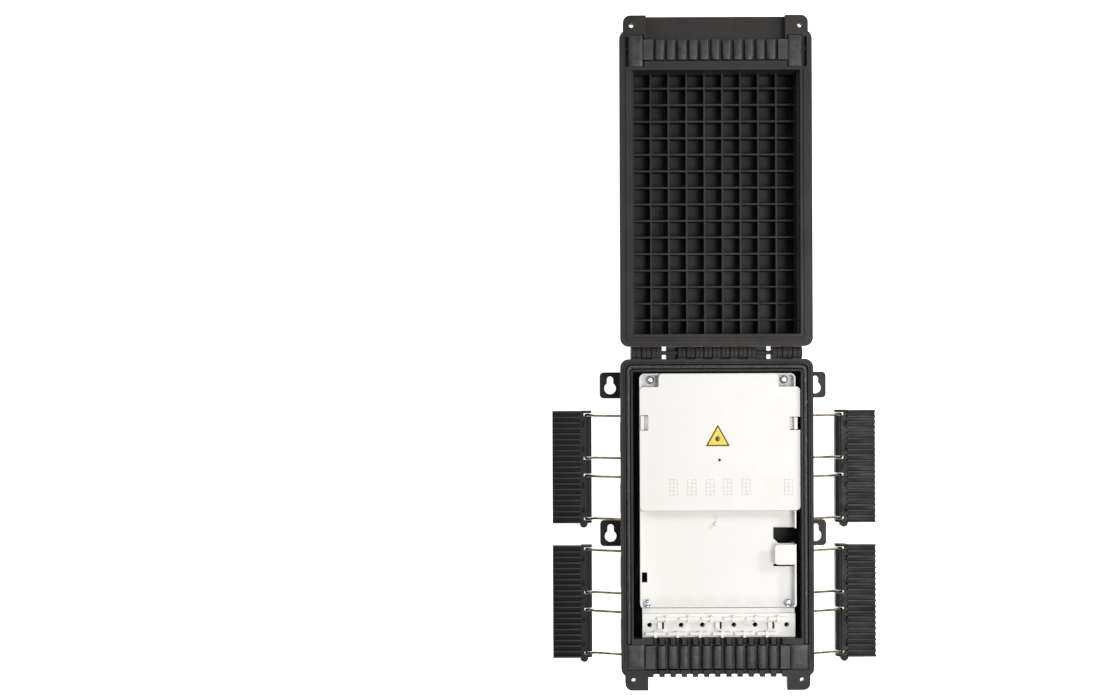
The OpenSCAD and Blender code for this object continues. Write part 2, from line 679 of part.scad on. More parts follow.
// one latch lever, drawn on the right-hand side with its pivot as the origin
module lever_body() {
    h = lever_l / 2;
    plate_x = lever_w - bar_in;
    difference() {
        union() {
            translate([0, h, 0]) rotate([90, 0, 0]) linear_extrude(lever_l) polygon([
                [-bar_in, -lever_z], [nose_u, -lever_z], [nose_u, -nose_w], [bar_out, -nose_w],
                [bar_out, plate_z[0]], [plate_x, plate_z[0]], [plate_x, plate_z[1]],
                [-3.4, plate_z[1]], [-bar_in, 0.6]]);
            // ribs across the plate
            for (i = [0:lever_ribs - 1]) {
                y = -h + rib_t / 2 + i * (lever_l - rib_t) / (lever_ribs - 1);
                slab(bar_out, plate_x, y - rib_t / 2, y + rib_t / 2, plate_z[1] - 0.5, plate_z[1] + rib_h);
            }
            // round nub past the lower end of the bar, and the catch in the middle
            translate([1.8, -h - 0.8, -nose_w]) cylinder(h = nose_w + 3.4, r = 4);
            slab(0.6, bar_out + 0.6, -2.6, 2.6, plate_z[1] - 0.5, plate_z[1] + 1.4);
            // feet at the finger edge
            for (s = [-1, 1]) slab(plate_x - 2, plate_x, s * bail_off - 15, s * bail_off + 15,
                -lever_z, plate_z[0] + 0.5);
        }
        // channel along the bar and pockets in its top
        slab(channel_u, channel_u + 1.5, -h - cut, h + cut, plate_z[1] - 1.3, plate_z[1] + cut);
        for (s = [-1, 1], y = pocket_v) slab(1.5, 4.4, s * y - 2.5, s * y + 2.5, plate_z[1] - 2.4, plate_z[1] + cut);
        for (y = latch_legs) {
            slab(-bar_in - cut, bar_out + 0.1, y - slot_w / 2, y + slot_w / 2, -lever_z - cut, wire_r + 0.5);
            slab(-bar_in - cut, wire_r + 0.5, y - slot_w / 2, y + slot_w / 2, 0, plate_z[1] + cut);
        }
        for (s = [-1, 1], e = [-1, 1]) {
            y = s * bail_off + e * (bail_w / 2 - bail_end_l / 2 - 0.5);
            rod_y(0, y - bail_end_l / 2 - 1, y + bail_end_l / 2 + 1, 0, wire_r + wire_fit);
        }
    }
}

module lever(yc) {
    translate([lever_x, yc, lever_z]) lever_body();
}

module left_upper_bails() { color(yellow_zinc) mirror([1, 0, 0]) bails(latch_y[0]); }
module left_lower_bails() { color(yellow_zinc) mirror([1, 0, 0]) bails(latch_y[1]); }
module right_upper_bails() { color(yellow_zinc) bails(latch_y[0]); }
module right_lower_bails() { color(yellow_zinc) bails(latch_y[1]); }
module left_upper_lever() { color(black) mirror([1, 0, 0]) lever(latch_y[0]); }
module left_lower_lever() { color(black) mirror([1, 0, 0]) lever(latch_y[1]); }
module right_upper_lever() { color(black) lever(latch_y[0]); }
module right_lower_lever() { color(black) lever(latch_y[1]); }

base_shell();
base_gasket();
base_port_seal();
base_corner_seals();
hinge_pin();
splice_tray();
cable_comb();
tray_screws();
splice_holder();
splice_sleeves();
bend_guides();
slack_clips();
splice_cover();
cover_label();
lid_shell();
lid_port_seal();
lid_corner_seals();
left_upper_bails();
left_lower_bails();
right_upper_bails();
right_lower_bails();
left_upper_lever();
left_lower_lever();
right_upper_lever();
right_lower_lever();
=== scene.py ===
import json
import math

import bmesh
import bpy
from mathutils import Matrix, Vector, noise


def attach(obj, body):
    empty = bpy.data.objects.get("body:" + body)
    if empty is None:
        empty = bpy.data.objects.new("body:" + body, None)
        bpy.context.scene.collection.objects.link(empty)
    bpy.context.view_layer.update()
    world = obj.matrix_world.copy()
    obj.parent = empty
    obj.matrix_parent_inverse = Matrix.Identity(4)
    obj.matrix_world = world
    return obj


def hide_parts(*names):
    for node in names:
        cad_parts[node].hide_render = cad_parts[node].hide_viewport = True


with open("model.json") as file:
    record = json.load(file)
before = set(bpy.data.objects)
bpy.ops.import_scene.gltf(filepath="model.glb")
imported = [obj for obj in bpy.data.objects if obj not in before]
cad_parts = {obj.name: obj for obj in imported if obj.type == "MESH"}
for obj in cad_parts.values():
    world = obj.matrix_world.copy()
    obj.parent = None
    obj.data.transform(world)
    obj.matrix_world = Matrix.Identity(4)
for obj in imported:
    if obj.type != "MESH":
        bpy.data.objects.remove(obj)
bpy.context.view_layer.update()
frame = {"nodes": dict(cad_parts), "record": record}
scene = bpy.context.scene
mm = 0.001

print("camera, floor and lights")

viewSettings = {
    "height": 2.26, "offset": (-0.16875, 0.16866), "roll": -0.0039, "lens": 72.26, "sensor": 36.0,
    "look": "Standard",
}


def makeCamera():
    data = bpy.data.cameras.new("viewCamera")
    data.sensor_width = viewSettings["sensor"]
    data.lens = viewSettings["lens"]
    data.clip_end = 20
    camera = bpy.data.objects.new("viewCamera", data)
    camera.location = (*viewSettings["offset"], viewSettings["height"])
    camera.rotation_euler.z = viewSettings["roll"]
    scene.collection.objects.link(camera)
    scene.camera = camera
    scene.view_settings.view_transform = viewSettings["look"]


lightSettings = {
    "zenith": 0.31, "horizon": 0.42,  # sky strength straight up and at the sides
    "fade": (0.35, 0.9),  # heights between which the sky goes from one to the other
    "areas": (  # name, place, size, watts, what it points at
        ("topLight", (0.78, 0.0, 2.6), 0.9, 28, (0.0, 0.15, 0.0)),
        ("keyLight", (-1.1, 1.3, 1.5), 0.6, 5, (0.0, 0.15, 0.0)),
        ("sideLight", (1.5, 0.75, 1.15), 0.4, 11, (0.0, 0.0, 0.0)),
        ("lowLight", (0.15, -1.5, 1.0), 0.4, 7, (0.0, 0.0, 0.0)),
    ),
}


def makeLights():
    world = bpy.data.worlds.new("studio")
    scene.world = world
    world.use_nodes = True
    tree = world.node_tree
    background = tree.nodes["Background"]
    background.inputs["Color"].default_value = (1, 1, 1, 1)
    place = tree.nodes.new("ShaderNodeTexCoord")
    split = tree.nodes.new("ShaderNodeSeparateXYZ")
    fade = tree.nodes.new("ShaderNodeMapRange")
    fade.interpolation_type = "SMOOTHSTEP"
    fade.inputs["From Min"].default_value = lightSettings["fade"][0]
    fade.inputs["From Max"].default_value = lightSettings["fade"][1]
    fade.inputs["To Min"].default_value = lightSettings["horizon"]
    fade.inputs["To Max"].default_value = lightSettings["zenith"]
    tree.links.new(place.outputs["Generated"], split.inputs["Vector"])
    tree.links.new(split.outputs["Z"], fade.inputs["Value"])
    tree.links.new(fade.outputs["Result"], background.inputs["Strength"])
    for name, place, size, watts, target in lightSettings["areas"]:
        data = bpy.data.lights.new(name, "AREA")
        data.size = size
        data.energy = watts
        light = bpy.data.objects.new(name, data)
        light.location = place
        aim = Vector(target) - Vector(place)
        light.rotation_euler = aim.to_track_quat("-Z", "Y").to_euler()
        scene.collection.objects.link(light)


floorSettings = {
    "half": 6.0, "drop": 0.0004, "colour": (0.94, 0.94, 0.94, 1), "roughness": 0.7, "glow": 0.95,
}


def makeFloor():
    mesh = bpy.data.meshes.new("floor")
    half = floorSettings["half"]
    corners = [(-half, -half, 0), (half, -half, 0), (half, half, 0), (-half, half, 0)]
    mesh.from_pydata(corners, [], [(0, 1, 2, 3)])
    floor = bpy.data.objects.new("floor", mesh)
    floor.location = (0, 0, -floorSettings["drop"])
    scene.collection.objects.link(floor)
    material = bpy.data.materials.new("paleFloor")
    material.use_nodes = True
    shader = material.node_tree.nodes["Principled BSDF"]
    shader.inputs["Base Color"].default_value = floorSettings["colour"]
    shader.inputs["Roughness"].default_value = floorSettings["roughness"]
    shader.inputs["Emission Color"].default_value = (1, 1, 1, 1)
    shader.inputs["Emission Strength"].default_value = floorSettings["glow"]
    mesh.materials.append(material)


makeCamera()
makeLights()
makeFloor()

print("materials")


def startMaterial(name, roughness, metallic=0.0, specular=0.5):
    material = bpy.data.materials.new(name)
    material.use_nodes = True
    tree = material.node_tree
    shader = tree.nodes["Principled BSDF"]
    shader.inputs["Roughness"].default_value = roughness
    shader.inputs["Metallic"].default_value = metallic
    shader.inputs["Specular IOR Level"].default_value = specular
    place = tree.nodes.new("ShaderNodeTexCoord")
    return material, tree, shader, place.outputs["Object"]


def addNoise(tree, place, scale, detail=3.0, stretch=(1, 1, 1)):
    mapping = tree.nodes.new("ShaderNodeMapping")
    mapping.inputs["Scale"].default_value = stretch
    texture = tree.nodes.new("ShaderNodeTexNoise")
    texture.inputs["Scale"].default_value = scale
    texture.inputs["Detail"].default_value = detail
    tree.links.new(place, mapping.inputs["Vector"])
    tree.links.new(mapping.outputs["Vector"], texture.inputs["Vector"])
    return texture.outputs["Fac"]


def addRange(tree, value, low, high, fromLow=0.3, fromHigh=0.7):
    node = tree.nodes.new("ShaderNodeMapRange")
    node.inputs["From Min"].default_value = fromLow
    node.inputs["From Max"].default_value = fromHigh
    node.inputs["To Min"].default_value = low
    node.inputs["To Max"].default_value = high
    tree.links.new(value, node.inputs["Value"])
    return node.outputs["Result"]


def addColours(tree, value, first, second):
    node = tree.nodes.new("ShaderNodeMix")
    node.data_type = "RGBA"
    node.inputs["A"].default_value = (*first, 1)
    node.inputs["B"].default_value = (*second, 1)
    tree.links.new(value, node.inputs["Factor"])
    return node.outputs["Result"]


def addRoundEdges(tree, radius):
    # softens the look of moulded edges
    node = tree.nodes.new("ShaderNodeBevel")
    node.samples = 4
    node.inputs["Radius"].default_value = radius
    return node.outputs["Normal"]


def addBump(tree, value, distance, strength=1.0, under=None):
    node = tree.nodes.new("ShaderNodeBump")
    node.inputs["Distance"].default_value = distance
    node.inputs["Strength"].default_value = strength
    tree.links.new(value, node.inputs["Height"])
    if under is not None:
        tree.links.new(under, node.inputs["Normal"])
    return node.outputs["Normal"]


housingFinish = {
    "dark": (0.026, 0.0238, 0.0228), "pale": (0.04, 0.0365, 0.035), "roughness": (0.37, 0.49),
    "shine": 0.2, "grain": 2600.0, "grainDepth": 0.00003, "flow": 26.0, "wave": 0.00012, "smear": 90.0,
    "edge": 0.0008,
}


def makeHousingPlastic():
    material, tree, shader, place = startMaterial("housingPlastic", 0.42, 0.0, housingFinish["shine"])
    cloud = addNoise(tree, place, housingFinish["flow"], 4)
    colour = addColours(tree, addRange(tree, cloud, 0, 1), housingFinish["dark"], housingFinish["pale"])
    tree.links.new(colour, shader.inputs["Base Color"])
    smear = addNoise(tree, place, housingFinish["smear"], 5, (1, 0.25, 1))
    tree.links.new(addRange(tree, smear, *housingFinish["roughness"]), shader.inputs["Roughness"])
    grain = addNoise(tree, place, housingFinish["grain"], 2)
    sink = addBump(tree, cloud, housingFinish["wave"], 0.6, addRoundEdges(tree, housingFinish["edge"]))
    normal = addBump(tree, grain, housingFinish["grainDepth"], 0.7, sink)
    tree.links.new(normal, shader.inputs["Normal"])
    return material


sealFinish = {
    "dark": (0.017, 0.017, 0.0185), "pale": (0.041, 0.04, 0.043), "roughness": (0.3, 0.55),
    "lumps": 140.0, "lumpDepth": 0.0006, "pits": 900.0, "pitDepth": 0.00016,
}


def makeSealRubber():
    material, tree, shader, place = startMaterial("sealRubber", 0.5)
    cloud = addNoise(tree, place, sealFinish["lumps"], 5)
    colour = addColours(tree, addRange(tree, cloud, 0, 1), sealFinish["dark"], sealFinish["pale"])
    tree.links.new(colour, shader.inputs["Base Color"])
    tree.links.new(addRange(tree, cloud, *sealFinish["roughness"]), shader.inputs["Roughness"])
    pits = addNoise(tree, place, sealFinish["pits"], 4)
    lumpy = addBump(tree, cloud, sealFinish["lumpDepth"], 0.7)
    normal = addBump(tree, pits, sealFinish["pitDepth"], 0.8, lumpy)
    tree.links.new(normal, shader.inputs["Normal"])
    return material


whiteFinish = {
    "warm": (0.85, 0.835, 0.795), "cool": (0.88, 0.87, 0.84), "roughness": (0.34, 0.44), "edge": 0.0006,
    "depth": 0.05, "depthRadius": (0.004, 0.004, 0.003), "flow": 11.0, "wave": 0.0005, "smear": 60.0,
    "grain": 2400.0, "grainDepth": 0.000018,
}


def makeWhitePlastic():
    material, tree, shader, place = startMaterial("whitePlastic", 0.38)
    shader.inputs["Subsurface Weight"].default_value = whiteFinish["depth"]
    shader.inputs["Subsurface Radius"].default_value = whiteFinish["depthRadius"]
    cloud = addNoise(tree, place, whiteFinish["flow"], 3)
    colour = addColours(tree, addRange(tree, cloud, 0, 1), whiteFinish["warm"], whiteFinish["cool"])
    tree.links.new(colour, shader.inputs["Base Color"])
    smear = addNoise(tree, place, whiteFinish["smear"], 4)
    tree.links.new(addRange(tree, smear, *whiteFinish["roughness"]), shader.inputs["Roughness"])
    grain = addNoise(tree, place, whiteFinish["grain"], 2)
    soft = addBump(tree, cloud, whiteFinish["wave"], 0.35, addRoundEdges(tree, whiteFinish["edge"]))
    tree.links.new(addBump(tree, grain, whiteFinish["grainDepth"], 0.6, soft), shader.inputs["Normal"])
    return material


# painted light on the lever ribs: the gap colour is painted shade for the deep gaps and the crest colour is a
# painted highlight for the rib tops; the painted highlight fades from inner to outer, and the pivot bar keeps
# barTone of it
leverFinish = {
    "gap": (0.003, 0.003, 0.0035), "litCrest": (0.05, 0.047, 0.047), "low": 0.0148, "high": 0.0178,
    "inner": 0.134, "outer": 0.166, "fade": 0.4, "shine": 0.2, "barEdge": 0.1364, "barBlend": 0.0004,
    "barTone": 0.42, "smear": 120.0,
}


def makeLeverPlastic():
    # painted shade and painted highlight: the deep gaps between the ribs are painted dark and the crests
    # pale, most of all near the pivot bar
    material, tree, shader, place = startMaterial("leverPlastic", 0.4, 0.0, leverFinish["shine"])
    split = tree.nodes.new("ShaderNodeSeparateXYZ")
    tree.links.new(place, split.inputs["Vector"])
    # painted shade low between the ribs, painted highlight up on the crests
    height = addRange(tree, split.outputs["Z"], 0, 1, leverFinish["low"], leverFinish["high"])
    across = tree.nodes.new("ShaderNodeMath")
    across.operation = "ABSOLUTE"
    tree.links.new(split.outputs["X"], across.inputs[0])
    distance = across.outputs["Value"]
    fade = addRange(tree, distance, 1, leverFinish["fade"], leverFinish["inner"], leverFinish["outer"])
    edge, blend = leverFinish["barEdge"], leverFinish["barBlend"]
    bar = addRange(tree, distance, leverFinish["barTone"], 0, edge - blend, edge + blend)
    higher = tree.nodes.new("ShaderNodeMath")
    higher.operation = "MAXIMUM"
    tree.links.new(height, higher.inputs[0])
    tree.links.new(bar, higher.inputs[1])
    # mix of painted shade and painted highlight for the lever
    paintedLightMask = tree.nodes.new("ShaderNodeMath")
    paintedLightMask.operation = "MULTIPLY"
    tree.links.new(higher.outputs["Value"], paintedLightMask.inputs[0])
    tree.links.new(fade, paintedLightMask.inputs[1])
    colour = addColours(tree, paintedLightMask.outputs["Value"], leverFinish["gap"], leverFinish["litCrest"])
    tree.links.new(colour, shader.inputs["Base Color"])
    smear = addNoise(tree, place, leverFinish["smear"], 4, (0.3, 1, 1))
    tree.links.new(addRange(tree, smear, 0.3, 0.5), shader.inputs["Roughness"])
    grain = addNoise(tree, place, housingFinish["grain"], 2)
    edges = addRoundEdges(tree, housingFinish["edge"])
    tree.links.new(addBump(tree, grain, housingFinish["grainDepth"], 0.7, edges), shader.inputs["Normal"])
    return material


metalFinish = {"streak": 1400.0, "streakDepth": 0.00002, "smoother": 0.07, "rougher": 0.1}


def makeMetal(name, first, second, roughness, drawn, patches=300):
    least, most = roughness - metalFinish["smoother"], roughness + metalFinish["rougher"]
    material, tree, shader, place = startMaterial(name, roughness, 1.0)
    cloud = addNoise(tree, place, patches, 4)
    colour = addColours(tree, addRange(tree, cloud, 0, 1), first, second)
    tree.links.new(colour, shader.inputs["Base Color"])
    streak = addNoise(tree, place, metalFinish["streak"], 3, drawn)
    tree.links.new(addRange(tree, streak, least, most), shader.inputs["Roughness"])
    tree.links.new(addBump(tree, streak, metalFinish["streakDepth"], 0.5), shader.inputs["Normal"])
    return material


sleeveFinish = {"dark": (0.62, 0.66, 0.7), "pale": (0.8, 0.83, 0.86), "roughness": 0.2, "cloud": 200.0}


def makeSleeveMaterial():
    material, tree, shader, place = startMaterial("shrinkSleeve", sleeveFinish["roughness"])
    cloud = addNoise(tree, place, sleeveFinish["cloud"], 2)
    colour = addColours(tree, addRange(tree, cloud, 0, 1), sleeveFinish["dark"], sleeveFinish["pale"])
    tree.links.new(colour, shader.inputs["Base Color"])
    return material


labelFinish = {"roughness": 0.3, "coat": 0.25, "cloud": 400.0, "wave": 0.00003}


def makeLabelMaterial(name, first, second):
    material, tree, shader, place = startMaterial(name, labelFinish["roughness"])
    shader.inputs["Coat Weight"].default_value = labelFinish["coat"]
    cloud = addNoise(tree, place, labelFinish["cloud"], 3)
    colour = addColours(tree, addRange(tree, cloud, 0, 1), first, second)
    tree.links.new(colour, shader.inputs["Base Color"])
    tree.links.new(addBump(tree, cloud, labelFinish["wave"], 0.4), shader.inputs["Normal"])
    return material


housingPlastic = makeHousingPlastic()
sealRubber = makeSealRubber()
whitePlastic = makeWhitePlastic()
zincSteel = makeMetal("zincSteel", (0.5, 0.54, 0.6), (0.74, 0.78, 0.83), 0.22, (1, 1, 0.2))
bailSteel = makeMetal("bailSteel", (0.07, 0.052, 0.022), (0.66, 0.58, 0.3), 0.2, (0.1, 1, 0.1), 90)
leverPlastic = makeLeverPlastic()
sleevePlastic = makeSleeveMaterial()
labelYellow = makeLabelMaterial("labelYellow", (0.84, 0.62, 0.008), (0.9, 0.7, 0.015))
labelBlack = makeLabelMaterial("labelBlack", (0.012, 0.012, 0.012), (0.02, 0.02, 0.02))

materialOfSlot = {
    "housing": housingPlastic, "pin": housingPlastic, "seal": sealRubber, "white_plastic": whitePlastic,
    "screw": zincSteel, "wire": bailSteel, "sleeve": sleevePlastic, "label": labelYellow,
}
slotOfNode = {part["node"]: part["material_slot"] for part in frame["record"]["subparts"]}
bodyOfNode = {
    node: body for body, nodes in frame["record"]["behaviour"]["bodies"].items() for node in nodes
}


def paintNodes():
    for name, node in frame["nodes"].items():
        material = leverPlastic if name.endswith("lever") else materialOfSlot[slotOfNode[name]]
        node.data.materials.clear()
        node.data.materials.append(material)


paintNodes()


def finishPiece(piece, material, body, slotName, *nodes):
    piece.data.materials.clear()
    piece.data.materials.append(material)
    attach(piece, body)
    if nodes:
        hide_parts(*nodes)
    return piece


def shadeSmooth(mesh, degrees=38):
    mesh.polygons.foreach_set("use_smooth", [True] * len(mesh.polygons))
    mesh.set_sharp_from_angle(angle=math.radians(degrees))


def addSoftEdges(piece, width, segments=2, degrees=38):
    bevel = piece.modifiers.new("softEdges", "BEVEL")
    bevel.width = width * mm
    bevel.segments = segments
    bevel.limit_method = "ANGLE"
    bevel.angle_limit = math.radians(degrees)
    bevel.use_clamp_overlap = False
    bevel.miter_outer = "MITER_ARC"
    bevel.harden_normals = True


print("shape helpers")


def toPiece(name, work, width=0.0, degrees=38):
    # the mesh is drawn in millimetres
    bmesh.ops.scale(work, vec=(mm, mm, mm), verts=work.verts)
    bmesh.ops.recalc_face_normals(work, faces=work.faces)
    mesh = bpy.data.meshes.new(name)
    work.to_mesh(mesh)
    work.free()
    piece = bpy.data.objects.new(name, mesh)
    scene.collection.objects.link(piece)
    if width:
        addSoftEdges(piece, width, 2, degrees)
    shadeSmooth(mesh, degrees)
    return piece


def addBlock(work, low, high):
    middle = [(a + b) / 2 for a, b in zip(low, high)]
    size = [b - a for a, b in zip(low, high)]
    place = Matrix.Translation(middle) @ Matrix.Diagonal((*size, 1))
    return bmesh.ops.create_cube(work, size=1, matrix=place)["verts"]


def addPrism(work, outline, low, high):
    bottom = [work.verts.new((x, y, low)) for x, y in outline]
    top = [work.verts.new((x, y, high)) for x, y in outline]
    work.faces.new(bottom[::-1])
    work.faces.new(top)
    for i in range(len(outline)):
        j = (i + 1) % len(outline)
        work.faces.new((bottom[i], bottom[j], top[j], top[i]))
    return bottom + top


def addTurned(work, profile, steps=32):
    # profile: (radius, height) pairs from the axis back to the axis
    rings = []
    for radius, height in profile:
        if radius == 0:
            rings.append([work.verts.new((0, 0, height))])
            continue
        rings.append([work.verts.new((radius * math.cos(a), radius * math.sin(a), height))
                      for a in (2 * math.pi * k / steps for k in range(steps))])
    for low, high in zip(rings, rings[1:]):
        for k in range(steps):
            j = (k + 1) % steps
            corners = [low[k % len(low)], low[j % len(low)], high[j % len(high)], high[k % len(high)]]
            face = list(dict.fromkeys(corners))
            if len(face) > 2:
                work.faces.new(face)


def addTube(work, points, radius, steps=12):
    points = [Vector(p) for p in points]
    rings = []
    side = None
    for i, point in enumerate(points):
        ahead = (points[min(i + 1, len(points) - 1)] - points[max(i - 1, 0)]).normalized()
        if side is None:
            side = ahead.orthogonal().normalized()
        side = (side - side.dot(ahead) * ahead).normalized()
        other = ahead.cross(side)
        rings.append([work.verts.new(point + radius * (math.cos(a) * side + math.sin(a) * other))
                      for a in (2 * math.pi * k / steps for k in range(steps))])
    for low, high in zip(rings, rings[1:]):
        for k in range(steps):
            j = (k + 1) % steps
            work.faces.new((low[k], low[j], high[j], high[k]))
    work.faces.new(rings[0][::-1])
    work.faces.new(rings[-1])


def smoothPath(corners, radius, steps=6):
    # rounds each inner corner of a polyline with a quadratic bend
    corners = [Vector(p) for p in corners]
    path = [corners[0]]
    for before, corner, after in zip(corners, corners[1:], corners[2:]):
        start = corner + (before - corner).normalized() * radius
        end = corner + (after - corner).normalized() * radius
        for k in range(steps + 1):
            t = k / steps
            path.append((1 - t) ** 2 * start + 2 * t * (1 - t) * corner + t * t * end)
    path.append(corners[-1])
    return path


def startTree(name, inputs):
    tree = bpy.data.node_groups.new(name, "GeometryNodeTree")
    tree.interface.new_socket("Geometry", in_out="INPUT", socket_type="NodeSocketGeometry")
    for label, kind in inputs.items():
        tree.interface.new_socket(label, in_out="INPUT", socket_type="NodeSocket" + kind)
    tree.interface.new_socket("Geometry", in_out="OUTPUT", socket_type="NodeSocketGeometry")
    return tree, tree.nodes.new("NodeGroupInput").outputs


def addNode(tree, kind, inputs, **settings):
    node = tree.nodes.new("GeometryNode" + kind if hasattr(bpy.types, "GeometryNode" + kind) else kind)
    for label, value in settings.items():
        setattr(node, label, value)
    for label, value in inputs.items():
        socket = node.inputs[label]
        if isinstance(value, bpy.types.NodeSocket):
            tree.links.new(value, socket)
        else:
            socket.default_value = value
    return node


def endTree(tree, geometry):
    result = tree.nodes.new("NodeGroupOutput")
    tree.links.new(geometry, result.inputs["Geometry"])
    return tree


def runTree(name, tree, mesh, values):
    # runs a tree on a mesh and keeps only the plain result
    source = bpy.data.objects.new(name + ".source", mesh)
    scene.collection.objects.link(source)
    modifier = source.modifiers.new("build", "NODES")
    modifier.node_group = tree
    for item in tree.interface.items_tree:
        if item.in_out == "INPUT" and item.name in values:
            modifier[item.identifier] = values[item.name]
    bpy.context.view_layer.update()
    ready = source.evaluated_get(bpy.context.evaluated_depsgraph_get())
    result = bpy.data.meshes.new_from_object(ready)
    result.name = name
    bpy.data.objects.remove(source)
    piece = bpy.data.objects.new(name, result)
    scene.collection.objects.link(piece)
    return piece


def wobbleNodes(tree, geometry, depth, scale):
    # moves every point by smooth noise, up to depth
    place = tree.nodes.new("GeometryNodeInputPosition").outputs["Position"]
    texture = addNode(tree, "ShaderNodeTexNoise", {"Vector": place, "Scale": scale, "Detail": 2.0})
    centred = addNode(tree, "ShaderNodeVectorMath", {0: texture.outputs["Color"], 1: (0.5, 0.5, 0.5)},
                      operation="SUBTRACT")
    sized = addNode(tree, "ShaderNodeVectorMath", {0: centred.outputs["Vector"], "Scale": depth},
                    operation="SCALE")
    moved = addNode(tree, "SetPosition", {"Geometry": geometry, "Offset": sized.outputs["Vector"]})
    return moved.outputs["Geometry"]


def makeScatterTree():
    # one copy of a piece on every point, each with its own size and turn
    tree, given = startTree("scatterPieces", {
        "Piece": "Object", "Material": "Material", "Least Size": "Vector", "Most Size": "Vector",
        "Turn": "Float", "Wobble": "Float", "Wobble Scale": "Float", "Seed": "Int"})
    master = addNode(tree, "ObjectInfo", {"Object": given["Piece"]})
    size = addNode(tree, "FunctionNodeRandomValue", {
        "Min": given["Least Size"], "Max": given["Most Size"], "Seed": given["Seed"]},
        data_type="FLOAT_VECTOR")
    angle = addNode(tree, "FunctionNodeRandomValue", {"Min": 0.0, "Seed": given["Seed"]}, data_type="FLOAT")
    tree.links.new(given["Turn"], [s for s in angle.inputs if s.name == "Max" and s.type == "VALUE"][0])
    turn = addNode(tree, "ShaderNodeCombineXYZ", {"Z": [s for s in angle.outputs if s.type == "VALUE"][0]})
    copies = addNode(tree, "InstanceOnPoints", {
        "Points": given["Geometry"], "Instance": master.outputs["Geometry"],
        "Rotation": turn.outputs["Vector"], "Scale": [s for s in size.outputs if s.type == "VECTOR"][0]})
    real = addNode(tree, "RealizeInstances", {"Geometry": copies.outputs["Instances"]})
    moved = wobbleNodes(tree, real.outputs["Geometry"], given["Wobble"], given["Wobble Scale"])
    painted = addNode(tree, "SetMaterial", {"Geometry": moved, "Material": given["Material"]})
    return endTree(tree, painted.outputs["Geometry"])


scatterTree = makeScatterTree()


def scatter(name, master, points, material, leastSize=(1, 1, 1), mostSize=(1, 1, 1), turn=0.0,
            wobble=0.0, wobbleScale=100.0, seed=0, degrees=38):
    mesh = bpy.data.meshes.new(name + ".points")
    mesh.from_pydata([tuple(c * mm for c in p) for p in points], [], [])
    piece = runTree(name, scatterTree, mesh, {
        "Piece": master, "Material": material, "Least Size": leastSize, "Most Size": mostSize,
        "Turn": turn, "Wobble": wobble * mm, "Wobble Scale": wobbleScale, "Seed": seed})
    bpy.data.objects.remove(master)
    shadeSmooth(piece.data, degrees)
    return piece


plan = {  # sizes shared with the housing, in millimetres
    "rim": 60.0, "hinge": 165.3, "sealHalf": 72.6, "sealStart": -152.0, "sealEnd": -127.0,
    "pitch": 11.17, "ports": 12, "trayFloor": 45.0, "coverTop": 57.0,
}


def lidMirror(unit=1.0):
    # carries a shape drawn on the base over the hinge line to its place on the open lid
    return Matrix.Translation((0, 2 * plan["hinge"] * unit, 0)) @ Matrix.Diagonal((1, -1, 1, 1))


print("gasket and gel seals")

gasketSettings = {
    "middle": 88.75, "start": -125.9, "end": 151.35, "corner": 5.2, "width": 4.7, "low": 55.5,
    "high": 58.5, "step": 0.9, "wobble": 0.75, "wobbleScale": 520.0,
    "crown": ((1, 0.62), (0.86, 0.86), (0.5, 0.98), (0, 1)),  # shares of the half width and the height
    "lift": 0.02, "swell": 0.15,  # how far it keeps off the groove's floor and rises past its top
}


def makeSweepTree():
    # a closed section carried along a path, then made lumpy
    tree, given = startTree("sweepSeal", {"Section": "Object", "Step": "Float", "Material": "Material",
                                          "Wobble": "Float", "Wobble Scale": "Float"})
    path = addNode(tree, "MeshToCurve", {"Mesh": given["Geometry"]})
    steps = addNode(tree, "ResampleCurve", {"Curve": path.outputs["Curve"], "Length": given["Step"]},
                    mode="LENGTH")
    upright = addNode(tree, "SetCurveNormal", {"Curve": steps.outputs["Curve"]}, mode="Z_UP")
    section = addNode(tree, "ObjectInfo", {"Object": given["Section"]})
    loop = addNode(tree, "MeshToCurve", {"Mesh": section.outputs["Geometry"]})
    skin = addNode(tree, "CurveToMesh", {
        "Curve": upright.outputs["Curve"], "Profile Curve": loop.outputs["Curve"], "Fill Caps": True})
    moved = wobbleNodes(tree, skin.outputs["Mesh"], given["Wobble"], given["Wobble Scale"])
    real = addNode(tree, "RealizeInstances", {"Geometry": moved})
    painted = addNode(tree, "SetMaterial", {
        "Geometry": real.outputs["Geometry"], "Material": given["Material"]})
    return endTree(tree, painted.outputs["Geometry"])


